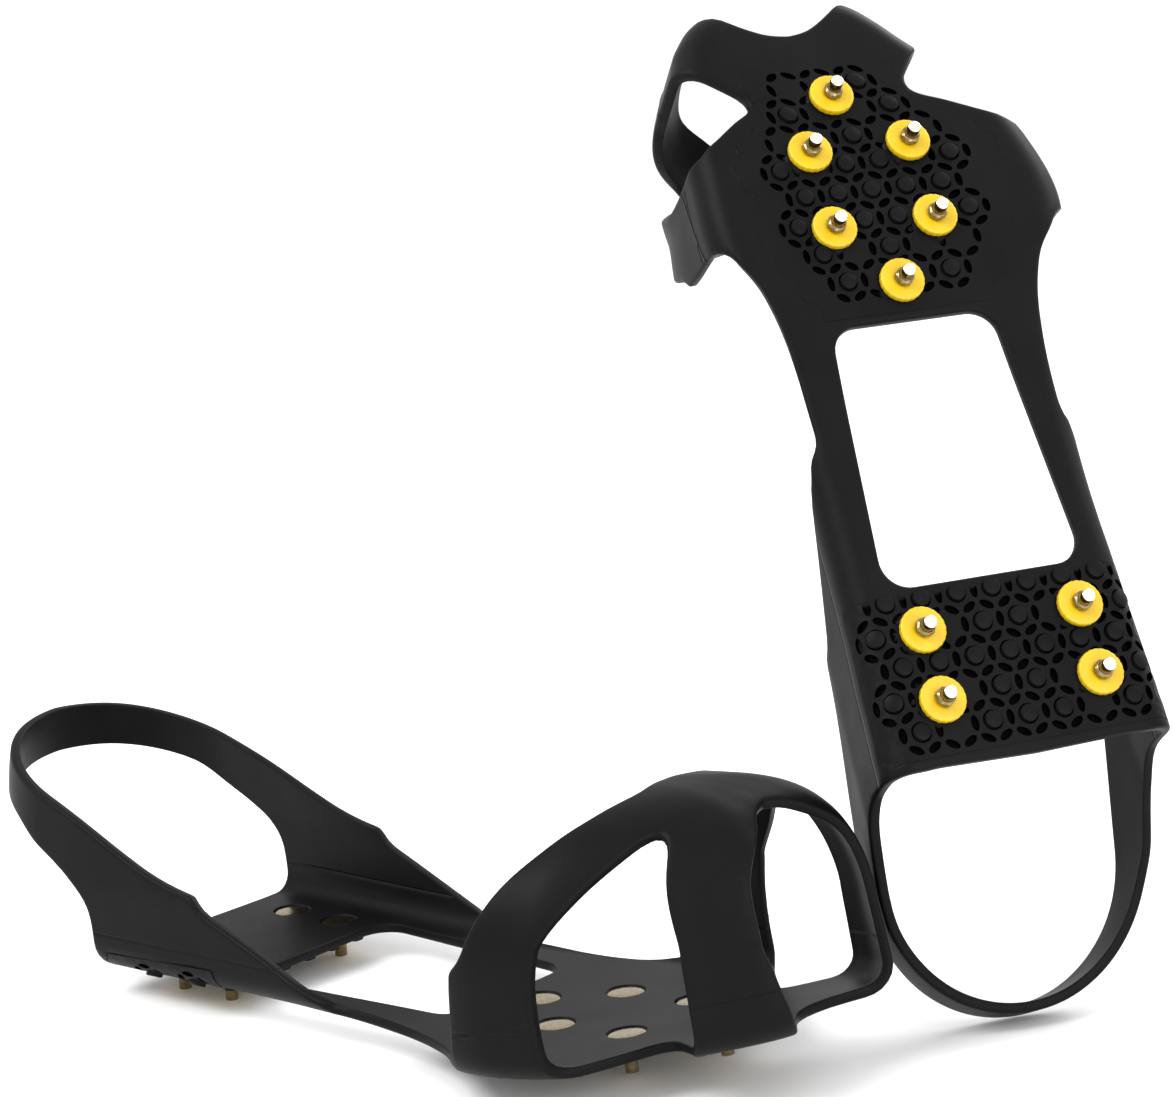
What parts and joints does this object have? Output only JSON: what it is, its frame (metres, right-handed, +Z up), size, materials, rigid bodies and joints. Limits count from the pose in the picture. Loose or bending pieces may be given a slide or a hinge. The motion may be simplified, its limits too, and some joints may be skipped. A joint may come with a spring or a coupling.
{
  "type": "shoe ice cleats",
  "caption": "Pair of stretch-on rubber ice cleats with steel studs on round plastic discs, toe and heel straps, shaped as worn, one flat and one tipped up.",
  "frame": {"origin": "middle of the right cleat's forefoot seat, on the shoe side of the rubber", "axes": "+X towards the right cleat's toe, +Y to the wearer's left, +Z up out of the sole into the shoe"},
  "size_m": [0.3464, 0.2362, 0.28],
  "materials": {
    "rubber": "satin moulded",
    "disc_plastic": "satin",
    "stud_steel": "bright turned"
  },
  "bodies": {
    "right_forefoot": {"right_forefoot_sole": "rubber", "right_inner_toe_straps": "rubber", "right_outer_toe_straps": "rubber", "right_stud_1": "stud_steel", "right_stud_2": "stud_steel", "right_stud_3": "stud_steel", "right_stud_4": "stud_steel", "right_stud_5": "stud_steel", "right_stud_6": "stud_steel", "right_disc_1": "disc_plastic", "right_disc_2": "disc_plastic", "right_disc_3": "disc_plastic", "right_disc_4": "disc_plastic", "right_disc_5": "disc_plastic", "right_disc_6": "disc_plastic"},
    "right_heel": {"right_heel_sole": "rubber", "right_inner_rail": "rubber", "right_inner_heel_side": "rubber", "right_outer_rail": "rubber", "right_outer_heel_side": "rubber", "right_stud_7": "stud_steel", "right_stud_8": "stud_steel", "right_stud_9": "stud_steel", "right_stud_10": "stud_steel", "right_disc_7": "disc_plastic", "right_disc_8": "disc_plastic", "right_disc_9": "disc_plastic", "right_disc_10": "disc_plastic"},
    "right_saddle": {"right_toe_saddle": "rubber"},
    "right_heel_strap": {"right_heel_strap": "rubber"},
    "left_forefoot": {"left_forefoot_sole": "rubber", "left_inner_toe_straps": "rubber", "left_outer_toe_straps": "rubber", "left_stud_1": "stud_steel", "left_stud_2": "stud_steel", "left_stud_3": "stud_steel", "left_stud_4": "stud_steel", "left_stud_5": "stud_steel", "left_stud_6": "stud_steel", "left_disc_1": "disc_plastic", "left_disc_2": "disc_plastic", "left_disc_3": "disc_plastic", "left_disc_4": "disc_plastic", "left_disc_5": "disc_plastic", "left_disc_6": "disc_plastic"},
    "left_heel": {"left_heel_sole": "rubber", "left_inner_rail": "rubber", "left_inner_heel_side": "rubber", "left_outer_rail": "rubber", "left_outer_heel_side": "rubber", "left_stud_7": "stud_steel", "left_stud_8": "stud_steel", "left_stud_9": "stud_steel", "left_stud_10": "stud_steel", "left_disc_7": "disc_plastic", "left_disc_8": "disc_plastic", "left_disc_9": "disc_plastic", "left_disc_10": "disc_plastic"},
    "left_saddle": {"left_toe_saddle": "rubber"},
    "left_heel_strap": {"left_heel_strap": "rubber"}
  },
  "joints": [
    {"name": "right_midfoot_flex", "type": "hinge", "parent": "right_forefoot", "child": "right_heel", "pos_m": [-0.042, 0, -0.0015], "axis": [0, 1, 0], "range_deg": [-15, 40], "stiffness_Nm_per_rad": 2, "deforming": ["right_inner_rail", "right_outer_rail"]},
    {"name": "left_midfoot_flex", "type": "hinge", "parent": "left_heel", "child": "left_forefoot", "pos_m": [0.09361, 0.08745, 0.14863], "axis": [-0.5336, -0.8451, -0.0338], "range_deg": [-15, 40], "stiffness_Nm_per_rad": 2, "deforming": ["left_inner_rail", "left_outer_rail"]},
    {"name": "right_heel_strap_swing", "type": "hinge", "parent": "right_heel", "child": "right_heel_strap", "pos_m": [-0.1405, 0, 0.033], "axis": [0, 1, 0], "range_deg": [-40, 8], "stiffness_Nm_per_rad": 0.3, "deforming": ["right_inner_heel_side", "right_outer_heel_side"]},
    {"name": "right_saddle_stretch", "type": "slide", "parent": "right_forefoot", "child": "right_saddle", "axis": [0, 0, 1], "range_m": [-0.015, 0.01], "stiffness_N_per_m": 150, "deforming": ["right_inner_toe_straps", "right_outer_toe_straps"]},
    {"name": "left_heel_strap_swing", "type": "hinge", "parent": "left_heel", "child": "left_heel_strap", "pos_m": [0.11281, 0.07942, 0.04636], "axis": [0.5336, 0.8451, 0.0338], "range_deg": [-40, 8], "stiffness_Nm_per_rad": 0.3, "deforming": ["left_inner_heel_side", "left_outer_heel_side"]},
    {"name": "left_saddle_stretch", "type": "slide", "parent": "left_forefoot", "child": "left_saddle", "axis": [-0.7183, 0.4739, -0.5094], "range_m": [-0.015, 0.01], "stiffness_N_per_m": 150, "deforming": ["left_inner_toe_straps", "left_outer_toe_straps"]},
    {"name": "left_cleat_lift", "type": "slide", "parent": "right_forefoot", "child": "left_heel", "axis": [0, 0, 1], "range_m": [0, 0.15]}
  ]
}
